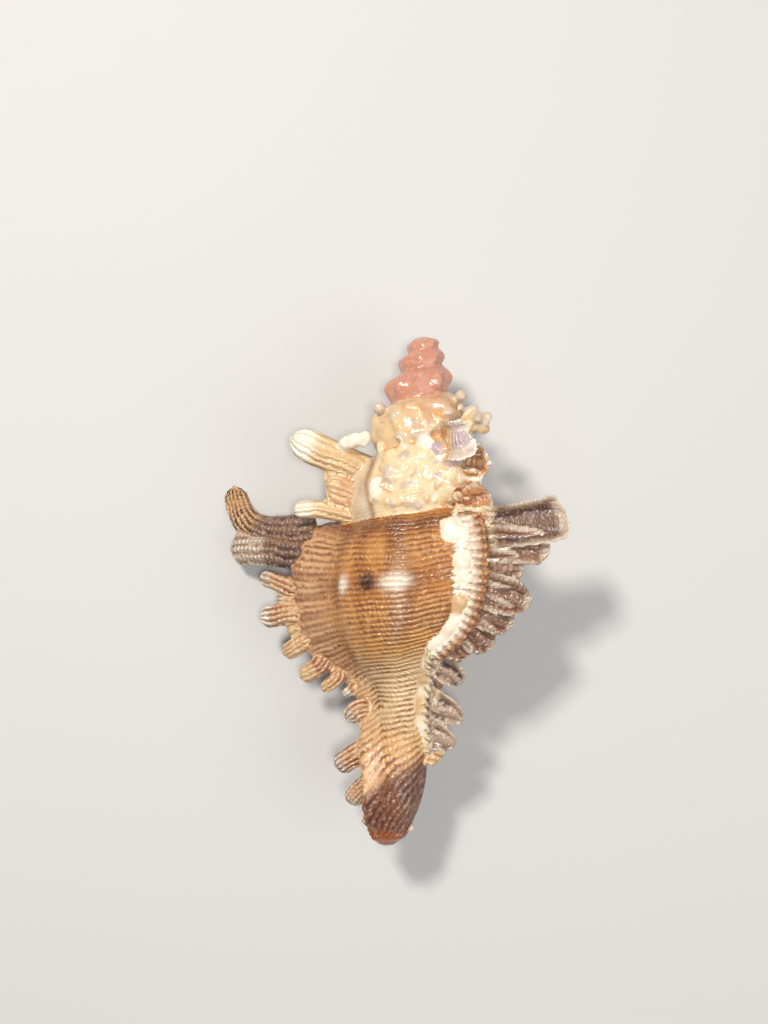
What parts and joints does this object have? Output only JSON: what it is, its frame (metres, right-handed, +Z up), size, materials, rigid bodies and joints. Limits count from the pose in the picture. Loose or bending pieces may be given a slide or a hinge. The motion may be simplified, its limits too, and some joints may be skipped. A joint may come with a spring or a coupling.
{
  "type": "murex sea shell",
  "caption": "Small spiny murex sea shell lying on its aperture, with a tall spire, a spiny lip, rows of leafy fronds and a long siphonal canal.",
  "frame": {"origin": "centre of the bounding box in plan, on the surface that the shell lies on", "axes": "+Y along the coiling axis towards the apex, +Z up through the middle of the back, +X to the right as seen from above"},
  "size_m": [0.0188, 0.028, 0.0092],
  "materials": {
    "shell": "ribbed shell, semi-gloss"
  },
  "bodies": {
    "root": {"shell": "shell"}
  },
  "joints": []
}
